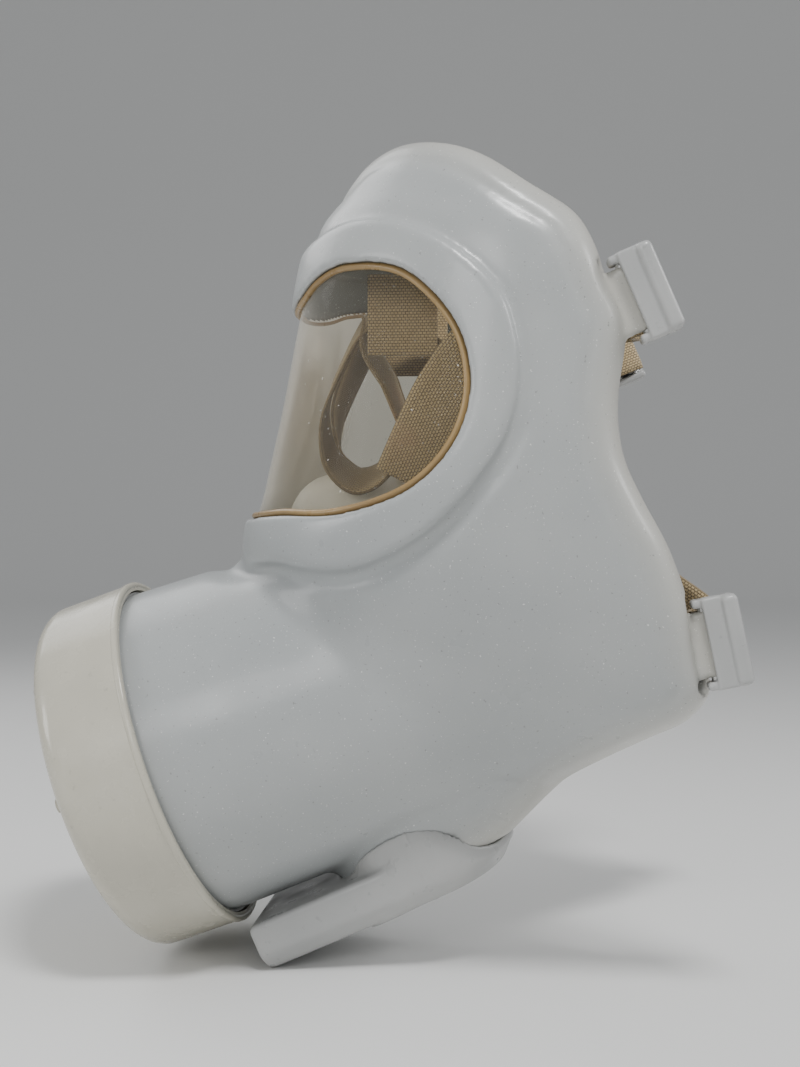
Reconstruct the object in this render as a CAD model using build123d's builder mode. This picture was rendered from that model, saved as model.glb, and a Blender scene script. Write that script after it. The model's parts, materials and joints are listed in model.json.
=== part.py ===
"""Full-face painter's respirator: rubber facepiece, wrap-round visor, one large front filter.

Millimetres. +Z is up, -Y is the way the wearer looks, X is left and right. The origin is the
middle of the face opening, in the plane where the rolled rim meets the temples.
"""

from build123d import *
from math import cos, hypot, radians, sin
import os

os.makedirs("parts", exist_ok=True)

# --- Driving dimensions ---------------------------------------------------------------------
RUBBER = 3.4  # wall of the moulded facepiece
RIM_LIP = 19.0  # how far the sealing lip turns in from the rim
LIP_THICKNESS = 2.4

DRUM_TILT = 20.0  # the filter drum points this far below level, degrees
DRUM_MOUTH_Y, DRUM_MOUTH_Z = -147.0, -101.0  # axis point under the cap's rear rim
DRUM_RADIUS = 58.0  # rubber outside at the mouth
DRUM_TAPER = 0.047  # loss of radius for each millimetre towards the face
DRUM_LIP = 6.0  # the rubber ends this far inside the cap
DRUM_BACK = -165.0

VISOR_TILT = 11.6  # the visor's axis leans back, degrees
VISOR_RADIUS = 75.0
VISOR_AXIS_Y, VISOR_AXIS_Z = -37.4, 20.0
LENS_THICKNESS = 2.0
LENS_INSET = 0.7
BAND_RISE = 3.0  # the raised band of rubber round the lens
BAND_WIDTH = 15.0
GASKET_WIDTH = 2.6

CAP_RADIUS = 62.0
CAP_DEPTH = 32.0
CAP_WALL = 2.6
CAP_FRONT = 3.0  # thickness of the slotted front
CAP_SLOTS = 12
CAP_RIBS = 8

HOUSING_BACK = -34.0
PORT_RADIUS = 18.2
CARTRIDGE_RADIUS = 51.2
CARTRIDGE_BACK, CARTRIDGE_FRONT = -28.0, 22.0

VALVE_STATION = -67.0  # exhalation valve, along the drum axis
VALVE_TILT = 24.0
VALVE_STAND = 1.5  # its reference plane stands this far off the rubber
COVER_RADIUS = 29.0
COVER_REACH = 63.5  # from the valve's centre to the open end of the duct
COVER_TOP, COVER_BOTTOM = 0.5, 17.5
COVER_WALL = 2.0

BUCKLE_WIDTH = 28.0
BUCKLE_CHEEK = 2.8
BUCKLE_END = 10.5
PIN_RADIUS = 1.5
RUNNING_GAP = 0.05
ROLLER_RADIUS, ROLLER_AXLE = 2.3, 1.25
ROLLER_AT = (6.4, -0.6)  # from the hinge pin, to the back and inwards

WEBBING_WIDTH, WEBBING_THICKNESS = 20.0, 1.6
PATCH_LAYER = 2.5  # half the thickness of the sewn patch

WIDE = 110.0  # half-width of the blocks that cut side profiles

FORWARD = (0, -cos(radians(DRUM_TILT)), -sin(radians(DRUM_TILT)))
DRUM = Plane(origin=(0, DRUM_MOUTH_Y, DRUM_MOUTH_Z), x_dir=(1, 0, 0), z_dir=FORWARD)
HEAD = Plane(
    origin=(0, VISOR_AXIS_Y, VISOR_AXIS_Z),
    x_dir=(1, 0, 0),
    z_dir=(0, sin(radians(VISOR_TILT)), cos(radians(VISOR_TILT))),
)
SIDE = Plane.YZ  # profiles seen from the side: local x is Y, local y is Z


def drum_radius(station):
    """Outside radius of the rubber drum at a station along its axis."""
    return DRUM_RADIUS + DRUM_TAPER * min(station, 0)


VALVE = Plane(
    origin=DRUM.from_local_coords((0, -drum_radius(VALVE_STATION) - VALVE_STAND, VALVE_STATION)),
    x_dir=(1, 0, 0),
    z_dir=(0, sin(radians(VALVE_TILT)), -cos(radians(VALVE_TILT))),
)

# Cross-sections of the head part, square to the visor's axis:
# (height, half-width, depth of the rounded front, shift of its centre to the back)
HEAD_SECTIONS = [
    (-122, 26, 26, 6),
    (-104, 42, 46, 6),
    (-88, 56, 62, 4),
    (-66, 66, 76, 1),
    (-44, 72.5, 75.5, 0),
    (-18, VISOR_RADIUS, VISOR_RADIUS, 0),
    (36, VISOR_RADIUS, VISOR_RADIUS, 0),
    (56, 72, 69, 0),
    (84, 64, 62, 2.5),
    (112, 55, 54, 7),
]
HEAD_BACK = 105.0  # the straight cheeks run back to here before the rim cuts them

# Cross-sections of the nose cup, level: (height, centre, half-width, half-depth)
NOSE_SECTIONS = [
    (-103, -66, 22, 22),
    (-84, -66, 38, 34),
    (-62, -66, 42, 42),
    (-38, -70, 34, 44),
    (-18, -78, 24, 34),
    (-4, -84, 12, 20),
]
NOSE_WALL = 2.2
NOSE_VALVE_AT = (41.0, -72.0, -62.0)

# Side view of the face opening's rim, from above the brow to under the chin
RIM_LINE = [
    (-110, 100),
    (-86, 104),
    (-60, 100),
    (-32, 82),
    (-14, 69),
    (-3, 38),
    (-5, 12),
    (3, -16),
    (15, -42),
    (23, -70),
    (14, -87),
    (-8, -98),
    (-40, -130),
]

# Side view of the lens, round from its upper front corner
LENS_CENTRE = (-87, 20)
LENS_LINE = [
    (-136, 42),
    (-107, 51.5),
    (-88, 59),
    (-66, 54),
    (-51.5, 38),
    (-48.6, 20),
    (-54, 2),
    (-68, -12),
    (-90, -19),
    (-107, -17.5),
    (-140, -12),
]


def head_body(grow):
    """The head part as a closed solid, grown or shrunk all round."""
    with BuildPart() as body:
        for height, half_width, depth, shift in HEAD_SECTIONS:
            a, b = half_width + grow, depth + grow
            with BuildSketch(HEAD.offset(height)):
                with BuildLine():
                    EllipticalCenterArc((0, shift), a, b, start_angle=180, arc_size=180)
                    Polyline((a, shift), (a, HEAD_BACK), (-a, HEAD_BACK), (-a, shift))
                make_face()
        loft()
    return body.part


def drum_body(grow, back=DRUM_BACK, front=DRUM_LIP):
    """The drum as a closed cone with a short straight end, grown or shrunk in radius."""
    with BuildPart() as body:
        with BuildSketch(DRUM.offset(back)):
            Circle(drum_radius(back) + grow)
        with BuildSketch(DRUM):
            Circle(DRUM_RADIUS + grow)
        loft()
        with BuildSketch(DRUM):
            Circle(DRUM_RADIUS + grow)
        extrude(amount=front)
    return body.part


def in_front_of_rim(shift=0.0):
    """Everything on the mask's side of the rim, moved forward by shift."""
    points = [(y - shift, z - 0.4 * shift) for y, z in RIM_LINE]
    with BuildPart() as block:
        with BuildSketch(SIDE):
            with BuildLine():
                Spline(*points)
                Polyline(points[-1], (-260, -260), (-260, points[0][1]), points[0])
            make_face()
        extrude(amount=WIDE, both=True)
    return block.part


def lens_block(grow):
    """The lens outline grown by a margin and carried right across the mask."""
    points = []
    for y, z in LENS_LINE:
        dy, dz = y - LENS_CENTRE[0], z - LENS_CENTRE[1]
        reach = 1 + grow / hypot(dy, dz)
        points.append((LENS_CENTRE[0] + dy * reach, LENS_CENTRE[1] + dz * reach))
    with BuildPart() as block:
        with BuildSketch(SIDE):
            with BuildLine():
                Spline(*points)
                Line(points[-1], points[0])
            make_face()
        extrude(amount=WIDE, both=True)
    return block.part


# --- Stations of the buckles and of the nose cup's valves ------------------------------------
SIDES = (("right", 1), ("left", -1))


def buckle_plane(side, pivot, tilt):
    """Local X runs along the rim, Y to the back, Z outward from the head."""
    back = Vector(0, cos(radians(tilt)), sin(radians(tilt)))
    outward = Vector(side, 0, 0)
    return Plane(origin=pivot, x_dir=back.cross(outward), z_dir=outward)


def hinge_plane(plane):
    """A buckle's section plane: local X to the back, Y outward, Z along the pin."""
    return Plane(origin=plane.origin, x_dir=plane.y_dir, z_dir=plane.x_dir)


def nose_valve_plane(side):
    """Check valve in the side of the nose cup, facing out."""
    x, y, z = NOSE_VALVE_AT
    return Plane(origin=(side * x, y, z), x_dir=(0, 1, 0), z_dir=(side, 0, 0))


BUCKLES = {}
for side_name, side in SIDES:
    BUCKLES[f"upper_{side_name}"] = buckle_plane(side, (side * 66.0, 3.2, 45.5), 23.0)
    BUCKLES[f"lower_{side_name}"] = buckle_plane(side, (side * 58.0, 26.5, -58.5), 12.0)


# --- Facepiece -------------------------------------------------------------------------------
def facepiece_part():
    """The moulded rubber body: head, drum, raised visor band, rim lip and buckle tabs."""
    outer = head_body(0) + drum_body(0)
    inner = head_body(-RUBBER) + drum_body(-RUBBER, front=DRUM_LIP + 1)
    band_ring = lens_block(BAND_WIDTH) - lens_block(GASKET_WIDTH)
    band = band_ring & (head_body(BAND_RISE) - head_body(-1))
    kept = in_front_of_rim()
    window = lens_block(GASKET_WIDTH)
    lip_hole = head_body(-RIM_LIP) + drum_body(-RIM_LIP)
    lip = (outer & (kept - in_front_of_rim(LIP_THICKNESS))) - lip_hole
    tab_half = BUCKLE_WIDTH / 2 - BUCKLE_CHEEK - 0.6
    with BuildPart() as rubber:
        add(outer)
        add(band)
        add(inner, mode=Mode.SUBTRACT)
        add(kept, mode=Mode.INTERSECT)
        add(window, mode=Mode.SUBTRACT)
        add(lip)
        for plane in BUCKLES.values():
            section = hinge_plane(plane)
            with BuildSketch(section.offset(-tab_half)):
                Circle(2.4)
                with Locations((-4.5, 0)):
                    Rectangle(9, 3)
            extrude(amount=2 * tab_half)
            with BuildSketch(section.offset(-tab_half)):
                Circle(PIN_RADIUS + RUNNING_GAP)
            extrude(amount=2 * tab_half, mode=Mode.SUBTRACT)
        with BuildSketch(VALVE.offset(-16)):
            Circle(20.2)
        extrude(amount=24, mode=Mode.SUBTRACT)
    return rubber.part


def visor_parts():
    """The clear lens and the tan gasket that its edge sits in."""
    lens_skin = head_body(-LENS_INSET) - head_body(-LENS_INSET - LENS_THICKNESS)
    lens = lens_block(0) & lens_skin
    gasket_skin = head_body(BAND_RISE - 1.2) - head_body(-RUBBER)
    gasket = gasket_skin & (lens_block(GASKET_WIDTH - 0.05) - lens_block(0.05))
    return lens, gasket


# --- Filter ----------------------------------------------------------------------------------
def filter_cap():
    """Push-on cap: a shallow cup with inlet slots, a centre boss and radial ribs."""
    with BuildPart() as cap:
        with BuildSketch(DRUM):
            Circle(CAP_RADIUS)
        extrude(amount=CAP_DEPTH)
        front_edge = cap.edges().filter_by(GeomType.CIRCLE).sort_by(Axis(DRUM.origin, DRUM.z_dir))[-1]
        fillet(front_edge, 7)
        with BuildSketch(DRUM):
            Circle(CAP_RADIUS - CAP_WALL)
        extrude(amount=CAP_DEPTH - CAP_FRONT - 4, mode=Mode.SUBTRACT)
        with BuildSketch(DRUM):
            Circle(CAP_RADIUS - CAP_WALL - 4)
        extrude(amount=CAP_DEPTH - CAP_FRONT, mode=Mode.SUBTRACT)
        with BuildSketch(DRUM.offset(CAP_DEPTH - CAP_FRONT - 1)):
            with PolarLocations(21, CAP_SLOTS):
                SlotOverall(15, 3.6)
        extrude(amount=CAP_FRONT + 2, mode=Mode.SUBTRACT)
        with BuildSketch(DRUM.offset(CAP_DEPTH - 1)):
            Circle(8)
            with PolarLocations(43, CAP_RIBS):
                SlotOverall(20, 5)
        extrude(amount=3)
    return cap.part


def filter_housing():
    """Rigid cup that the drum rubber is clamped on; its back wall carries the inlet valve."""
    with BuildPart() as cup:
        with BuildSketch(DRUM.offset(HOUSING_BACK)):
            Circle(52.4)
            Circle(PORT_RADIUS, mode=Mode.SUBTRACT)
        extrude(amount=3)
        with BuildSketch(DRUM.offset(HOUSING_BACK)):
            Circle(52.4)
            Circle(51.6, mode=Mode.SUBTRACT)
        extrude(amount=-HOUSING_BACK)
        with BuildSketch(DRUM):
            Circle(54.3)
            Circle(51.6, mode=Mode.SUBTRACT)
        extrude(amount=10)
        with BuildSketch(DRUM.offset(DRUM_LIP + 0.2)):
            Circle(58.0)
            Circle(51.6, mode=Mode.SUBTRACT)
        extrude(amount=5)
        with BuildSketch(DRUM.offset(DRUM_LIP + 1.4)):
            Circle(60)
            Circle(56.6, mode=Mode.SUBTRACT)
        extrude(amount=2, mode=Mode.SUBTRACT)
    return cup.part


def ring(plane, outer, inner, low, high):
    """A plain ring, or a disc where inner is 0, between two stations of a plane's axis."""
    with BuildPart() as body:
        with BuildSketch(plane.offset(low)):
            Circle(outer)
            if inner > 0:
                Circle(inner, mode=Mode.SUBTRACT)
        extrude(amount=high - low)
    return body.part


def cartridge_case():
    """Open-fronted can with a spigot that plugs into the port."""
    back, front, radius = CARTRIDGE_BACK, CARTRIDGE_FRONT, CARTRIDGE_RADIUS
    with BuildPart() as case:
        with BuildSketch(DRUM.offset(back)):
            Circle(radius)
            Circle(13, mode=Mode.SUBTRACT)
        extrude(amount=1.5)
        with BuildSketch(DRUM.offset(back)):
            Circle(radius)
            Circle(radius - 1.2, mode=Mode.SUBTRACT)
        extrude(amount=front - back)
        with BuildSketch(DRUM.offset(back - 2.6)):
            Circle(15)
            Circle(13, mode=Mode.SUBTRACT)
        extrude(amount=2.6)
    return case.part


def cartridge_front_plate():
    """Perforated plate that closes the can."""
    with BuildPart() as plate:
        with BuildSketch(DRUM.offset(CARTRIDGE_FRONT - 2)):
            Circle(CARTRIDGE_RADIUS - 1.4)
            for count, reach in ((6, 9), (12, 18), (18, 27), (24, 36), (30, 45)):
                with PolarLocations(reach, count):
                    Circle(2.2, mode=Mode.SUBTRACT)
        extrude(amount=1.8)
    return plate.part


def particulate_filter():
    """Pleated paper, folded zigzag across the can and trimmed round."""
    pitch, crest, valley = 4.0, 18.4, 9.2
    half = CARTRIDGE_RADIUS - 2.5
    folds = [(k * pitch - half, crest if k % 2 else valley) for k in range(int(2 * half / pitch) + 1)]
    trim = ring(DRUM, CARTRIDGE_RADIUS - 1.6, 0, 0, CARTRIDGE_FRONT)
    with BuildPart() as pleats:
        with BuildSketch(Plane(origin=DRUM.origin, x_dir=DRUM.x_dir, z_dir=-DRUM.y_dir)):
            with BuildLine():
                Polyline(*folds)
            trace(line_width=1.0)
        extrude(amount=60, both=True)
        add(trim, mode=Mode.INTERSECT)
    return pleats.part


# --- Valves ----------------------------------------------------------------------------------
def valve_seat(plane, outer, inner, low, high, stem):
    """A ring with a four-armed hub, and a headed stem that guides the disc."""
    tip = plane.offset(low + stem if stem < 0 else high + stem - 1)
    with BuildPart() as seat:
        with BuildSketch(plane.offset(low)):
            Circle(outer)
            Circle(inner, mode=Mode.SUBTRACT)
            Circle(inner / 5)
            with PolarLocations(inner / 2, 4):
                Rectangle(inner + 1, 1.8)
        extrude(amount=high - low)
        with BuildSketch(plane.offset(low if stem < 0 else high)):
            Circle(1.2)
        extrude(amount=stem)
        with BuildSketch(tip):
            Circle(2.0)
        extrude(amount=1)
    return seat.part


def inhalation_valve_seat():
    """Seat of the inlet valve, with the flange that presses on the housing's back wall."""
    seat = valve_seat(DRUM, PORT_RADIUS - 0.1, 14.5, -36.8, -31.4, -4.5)
    return seat + ring(DRUM, 22.0, 14.5, -36.8, HOUSING_BACK - 0.05)


def exhalation_cover():
    """Deflector under the chin: round at the back, an open duct to the front."""
    rubber = drum_body(0.15, front=1) + head_body(0.15)
    with BuildPart() as cover:
        with BuildSketch(VALVE.offset(COVER_TOP)):
            Circle(COVER_RADIUS)
            with Locations((0, COVER_REACH / 2)):
                Rectangle(2 * COVER_RADIUS, COVER_REACH)
        extrude(amount=COVER_BOTTOM - COVER_TOP)
        fillet(cover.faces().sort_by(Axis(VALVE.origin, VALVE.z_dir))[-1].edges(), 4)
        with BuildSketch(VALVE.offset(-12)):
            Circle(COVER_RADIUS - 2.5)
        extrude(amount=12 + COVER_TOP)
        with BuildSketch(VALVE.offset(COVER_TOP + COVER_WALL)):
            Circle(COVER_RADIUS - COVER_WALL)
            with Locations((0, COVER_REACH / 2 + 5)):
                Rectangle(2 * (COVER_RADIUS - COVER_WALL), COVER_REACH + 10)
        extrude(amount=COVER_BOTTOM - COVER_TOP - 2 * COVER_WALL, mode=Mode.SUBTRACT)
        with BuildSketch(VALVE.offset(-16)):
            Circle(COVER_RADIUS - 4.6)
        extrude(amount=20, mode=Mode.SUBTRACT)
        add(rubber, mode=Mode.SUBTRACT)
    return cover.part


# --- Nose cup --------------------------------------------------------------------------------
def nose_body(shrink):
    """The nose cup as a closed form, shrunk all round."""
    with BuildPart() as body:
        for height, centre, half_width, half_depth in NOSE_SECTIONS:
            lift = shrink if height == NOSE_SECTIONS[0][0] else 0
            drop = shrink if height == NOSE_SECTIONS[-1][0] else 0
            with BuildSketch(Plane.XY.offset(height + lift - drop)):
                with Locations((0, centre)):
                    Ellipse(half_width - shrink, half_depth - shrink)
        loft()
    return body.part


def nose_cup():
    """Soft inner cup over nose and mouth, with a neck on the exhalation valve."""
    outer, inner = nose_body(0), nose_body(NOSE_WALL)
    room = drum_body(-RUBBER - 0.4) + head_body(-RUBBER - 0.4)
    with BuildPart() as cup:
        add(outer)
        with BuildSketch(VALVE.offset(-36)):
            Circle(22.4)
        extrude(amount=30)
        add(inner, mode=Mode.SUBTRACT)
        with BuildSketch(VALVE.offset(-40)):
            Circle(20.2)
        extrude(amount=40, mode=Mode.SUBTRACT)
        add(room, mode=Mode.INTERSECT)
        with BuildSketch(SIDE):
            with BuildLine():
                Spline((-76, 20), (-62, -18), (-54, -50), (-50, -75), (-46, -100), (-44, -120))
                Polyline((-44, -120), (40, -120), (40, 20), (-76, 20))
            make_face()
        extrude(amount=WIDE, both=True, mode=Mode.SUBTRACT)
        for _, side in SIDES:
            with BuildSketch(nose_valve_plane(side).offset(-6)):
                Circle(8.6)
            extrude(amount=10, mode=Mode.SUBTRACT)
    return cup.part


# --- Buckles and webbing ---------------------------------------------------------------------
def buckle_frame(section):
    """Two cheeks joined by a ribbed outer bar."""
    half = BUCKLE_WIDTH / 2
    with BuildPart() as frame:
        for low in (-half, half - BUCKLE_CHEEK):
            with BuildSketch(section.offset(low)):
                Circle(3.3)
                with Locations((BUCKLE_END / 2 - 0.25, 0.2)):
                    Rectangle(BUCKLE_END - 0.5, 7.2)
            extrude(amount=BUCKLE_CHEEK)
        with BuildSketch(section.offset(-half)):
            with BuildLine():
                Polyline(
                    (-0.4, 2.75),
                    (BUCKLE_END, 2.75),
                    (BUCKLE_END, 6.6),
                    (BUCKLE_END - 4.5, 7.0),
                    (BUCKLE_END - 5.6, 5.2),
                    (-0.4, 5.2),
                    (-0.4, 2.75),
                )
            make_face()
        extrude(amount=BUCKLE_WIDTH)
        with BuildSketch(section.offset(-half - 1)):
            Circle(PIN_RADIUS)
            with Locations(ROLLER_AT):
                Circle(ROLLER_AXLE + RUNNING_GAP)
        extrude(amount=BUCKLE_WIDTH + 2, mode=Mode.SUBTRACT)
    return frame.part


def buckle_roller(section):
    """Roller that the webbing turns round, with its axle ends in the cheeks."""
    half = BUCKLE_WIDTH / 2
    with BuildPart() as roller:
        with BuildSketch(section.offset(-half)):
            with Locations(ROLLER_AT):
                Circle(ROLLER_AXLE)
        extrude(amount=BUCKLE_WIDTH)
        with BuildSketch(section.offset(-half + BUCKLE_CHEEK + 0.4)):
            with Locations(ROLLER_AT):
                Circle(ROLLER_RADIUS)
        extrude(amount=BUCKLE_WIDTH - 2 * BUCKLE_CHEEK - 0.8)
    return roller.part


def strap(plane, route):
    """One webbing strap: its route lies in the plane and its width stands square to it."""
    with BuildPart() as webbing:
        with BuildSketch(plane):
            with BuildLine():
                FilletPolyline(*route, radius=8)
            trace(line_width=WEBBING_THICKNESS)
        extrude(amount=WEBBING_WIDTH / 2, both=True)
    return webbing.part


def strap_parts():
    """Four straps, folded in over the rim and sewn to the patch in the middle."""
    rise = Vector(0, -0.75, 0.66)
    straps = {}
    for side_name, side in SIDES:
        level = Plane(origin=(0, 0, 46), x_dir=(1, 0, 0), z_dir=(0, 0, 1))
        route = [(59, 20), (49, 16), (42, -12), (4.0, -56), (4.0, -80)]
        straps[f"strap_upper_{side_name}"] = strap(level, [(side * x, y) for x, y in route])
        slope = Plane(origin=(0, 34, -56), x_dir=(1, 0, 0), z_dir=Vector(1, 0, 0).cross(rise))
        route = [(43.5, 0), (40, 30), (28, 80), (6.8, 112), (6.8, 144)]
        straps[f"strap_lower_{side_name}"] = strap(slope, [(side * x, y) for x, y in route])
    return straps


def harness_patch():
    """Stitched pad where the four straps meet."""
    with BuildPart() as patch:
        with BuildSketch(Plane.YZ.offset(-PATCH_LAYER)):
            with Locations((-70.5, 46)):
                RectangleRounded(23, 28, 3)
        extrude(amount=2 * PATCH_LAYER)
    return patch.part


# --- Build and write -------------------------------------------------------------------------
def save(piece, name):
    """Labels a finished piece and writes its STEP file."""
    piece.label = name
    export_step(piece, f"parts/{name}.step")


save(facepiece_part(), "facepiece")
visor_lens, visor_gasket = visor_parts()
save(visor_lens, "visor_lens")
save(visor_gasket, "visor_gasket")

save(filter_cap(), "filter_cap")
save(ring(DRUM, 53.0, 0, 25.0, CAP_DEPTH - CAP_FRONT - 0.2), "prefilter_pad")
save(filter_housing(), "filter_housing")
save(ring(DRUM, 59.2, 56.7, DRUM_LIP + 1.5, DRUM_LIP + 3.3), "cap_seal_ring")
save(ring(DRUM, 58.9, DRUM_RADIUS + 0.05, 1.0, 5.5), "drum_clamp_band")
save(cartridge_case(), "cartridge_case")
save(cartridge_front_plate(), "cartridge_front_plate")
save(particulate_filter(), "particulate_filter")
media_radius = CARTRIDGE_RADIUS - 1.4
save(ring(DRUM, media_radius, 0, CARTRIDGE_BACK + 4.2, 7.0), "charcoal_bed")
save(ring(DRUM, media_radius, 0, CARTRIDGE_BACK + 1.7, CARTRIDGE_BACK + 4.0), "cartridge_rear_screen")
save(ring(DRUM, 17.8, 15.1, CARTRIDGE_BACK - 2.6, CARTRIDGE_BACK - 0.2), "cartridge_seal")

save(inhalation_valve_seat(), "inhalation_valve_seat")
save(ring(DRUM, 16.5, 1.4, -38.1, -36.9), "inhalation_valve_disc")
save(valve_seat(VALVE, 20.0, 16.0, -12.0, 5.0, 5.5), "exhalation_valve_seat")
save(ring(VALVE, 18.5, 1.4, 5.1, 6.3), "exhalation_valve_disc")
save(exhalation_cover(), "exhalation_valve_cover")

save(nose_cup(), "nose_cup")
for side_name, side in SIDES:
    plane = nose_valve_plane(side)
    save(valve_seat(plane, 8.5, 6.0, -2.4, 1.8, -4.0), f"nose_valve_seat_{side_name}")
    save(ring(plane, 7.4, 1.4, -3.5, -2.5), f"nose_valve_disc_{side_name}")

for station, plane in BUCKLES.items():
    section = hinge_plane(plane)
    half = BUCKLE_WIDTH / 2
    save(buckle_frame(section), f"buckle_{station}")
    save(ring(section, PIN_RADIUS, 0, -half, half), f"buckle_pin_{station}")
    save(buckle_roller(section), f"buckle_roller_{station}")
for node, piece in strap_parts().items():
    save(piece, node)
save(harness_patch(), "harness_patch")
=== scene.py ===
"""Looks of the full-face respirator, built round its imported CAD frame. Metres; fields in mm."""

from math import cos, pi, radians, sin
import json

import bmesh
import bpy
import numpy as np
import openvdb
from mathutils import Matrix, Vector


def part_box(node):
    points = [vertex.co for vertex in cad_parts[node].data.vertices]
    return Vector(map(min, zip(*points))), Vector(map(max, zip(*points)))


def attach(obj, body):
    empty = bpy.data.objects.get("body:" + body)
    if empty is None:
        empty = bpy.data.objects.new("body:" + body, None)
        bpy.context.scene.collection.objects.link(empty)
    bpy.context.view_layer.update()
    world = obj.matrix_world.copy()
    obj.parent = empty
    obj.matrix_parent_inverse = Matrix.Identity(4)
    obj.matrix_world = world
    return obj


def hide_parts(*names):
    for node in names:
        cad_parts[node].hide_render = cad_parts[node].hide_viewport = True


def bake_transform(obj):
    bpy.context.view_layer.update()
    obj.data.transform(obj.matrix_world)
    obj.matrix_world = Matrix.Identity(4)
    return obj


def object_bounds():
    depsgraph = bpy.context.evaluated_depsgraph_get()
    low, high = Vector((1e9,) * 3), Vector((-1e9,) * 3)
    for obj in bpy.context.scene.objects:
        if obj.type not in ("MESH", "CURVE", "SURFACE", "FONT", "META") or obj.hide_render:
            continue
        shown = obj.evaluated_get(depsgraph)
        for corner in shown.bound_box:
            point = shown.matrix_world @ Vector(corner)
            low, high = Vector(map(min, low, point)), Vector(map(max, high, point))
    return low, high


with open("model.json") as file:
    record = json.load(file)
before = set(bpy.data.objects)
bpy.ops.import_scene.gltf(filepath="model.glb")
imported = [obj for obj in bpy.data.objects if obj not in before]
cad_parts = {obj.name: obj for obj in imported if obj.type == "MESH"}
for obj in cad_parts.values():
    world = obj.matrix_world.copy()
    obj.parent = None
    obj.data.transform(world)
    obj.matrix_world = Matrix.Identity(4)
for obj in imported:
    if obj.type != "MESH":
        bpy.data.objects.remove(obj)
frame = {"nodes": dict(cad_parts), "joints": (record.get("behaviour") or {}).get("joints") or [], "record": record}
CAD_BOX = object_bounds()
MM = 0.001
SIDES = (("right", 1), ("left", -1))

# --- Driving dimensions, mm --------------------------------------------------------------------
FACE_STEP = 1.15
RUBBER = 3.3
RIM_LIP = 17.0
RIM_ROUND = 15.0
VISOR_TILT = radians(11.6)
VISOR_AXIS = np.array([-37.4, 20.0])
BAND_RISE = 3.2
BAND_FALL = 0.0016  # how fast the band sinks towards the lens, per mm
GASKET_RADIUS = 1.15
LENS_SEAT = 0.9  # the lens reaches this far under the rubber, and lies this far inside it
DRUM_RADIUS, DRUM_TAPER = 58.0, 0.047
DRUM_LIP = 6.0
DRUM_BACK = -160.0
DRUM_FILLET = 9.0
CAP_BEAD_STATION, CAP_BEAD_RADIUS, CAP_BEAD_WIDTH = 0.9, 61.35, 2.5
SEAL_RING_STATION = 8.4  # middle of the cap's seal, along the drum
VALVE_DISC_LIFT = 5.7  # middle of the exhalation disc, out from its reference plane
VALVE_BORE = 20.3
COVER_REACH = 62.8
COVER_RADIUS = 28.3
TAB_LENGTH, TAB_HALF = 9.5, 10.4
STRAP_WIDTH, STRAP_THICKNESS = 21.0, 1.5
PATCH_WIDTH = 27.0

joint_of = {j["name"]: j for j in frame["joints"]}


def centre(node):
    """Middle of a CAD node's box, mm."""
    low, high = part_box(node)
    return (np.array(low) + np.array(high)) / 2 / MM


FORWARD = np.array(joint_of["cap_pull"]["axis"], float)
DRUM_UP = np.array([0.0, FORWARD[2], -FORWARD[1]])
DRUM_AT = centre("cap_seal_ring") - FORWARD * SEAL_RING_STATION
VALVE_OUT = np.array(joint_of["exhalation_lift"]["axis"], float)
VALVE_FRONT = np.array([0.0, VALVE_OUT[2], -VALVE_OUT[1]])
VALVE_AT = centre("exhalation_valve_disc") - VALVE_OUT * VALVE_DISC_LIFT

# Section of the head square to the visor's axis: height, half-width, front depth, shift back
HEAD = np.array([
    (-122, 26, 26, 6), (-104, 44, 46, 6), (-88, 58, 62, 4), (-66, 67, 76, 1), (-44, 72.5, 75.5, 0),
    (-18, 75, 75, 0), (36, 75, 75, 0), (56, 72, 69, 0), (84, 64, 62, 2.5), (112, 55, 54, 7),
], float)
# Side view of the rim, from above the brow round to under the chin
RIM = [
    (-112, 90), (-94, 97), (-84, 102.2), (-71, 103.8), (-57, 100.6), (-43, 94), (-28, 83),
    (-15, 74), (-9, 65), (-4, 51), (1.2, 38), (-1.2, 15), (0.4, -1), (6.5, -15), (14, -29),
    (20, -45), (24, -60),
    (28, -73), (22, -83.5), (11, -90.4), (-3, -99), (-17, -109), (-34, -126),
]
# Side view of the lens and of the raised band round it
LENS = [
    (-140, 40), (-107, 51), (-96, 57), (-84.5, 58.8), (-66, 54), (-51, 38), (-46.4, 20), (-51, 3),
    (-64, -10.5), (-84, -17.5), (-104, -18.2), (-140, -13),
]
BAND = [
    (-140, 66), (-104, 71.5), (-84, 74), (-66, 70), (-49, 60), (-36, 46), (-31, 26), (-34, 6),
    (-46, -12.5), (-62, -27), (-84, -36.5), (-108, -35), (-140, -26),
]


# --- Curves and fields -------------------------------------------------------------------------
def smooth(points, per_span=10, closed=False):
    """Catmull-Rom curve through the points."""
    p = np.array(points, float)
    ext = np.vstack([p[-1:], p, p[:2]]) if closed else np.vstack([2 * p[0] - p[1], p, 2 * p[-1] - p[-2]])
    spans = len(p) if closed else len(p) - 1
    t = np.linspace(0, 1, per_span, endpoint=False)[:, None]
    out = []
    for k in range(spans):
        a, b, c, d = ext[k:k + 4]
        curve = 2 * b + (c - a) * t + (2 * a - 5 * b + 4 * c - d) * t**2 + (3 * b - a - 3 * c + d) * t**3
        out.append(0.5 * curve)
    if not closed:
        out.append(p[-1:])
    return np.vstack(out)


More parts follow.
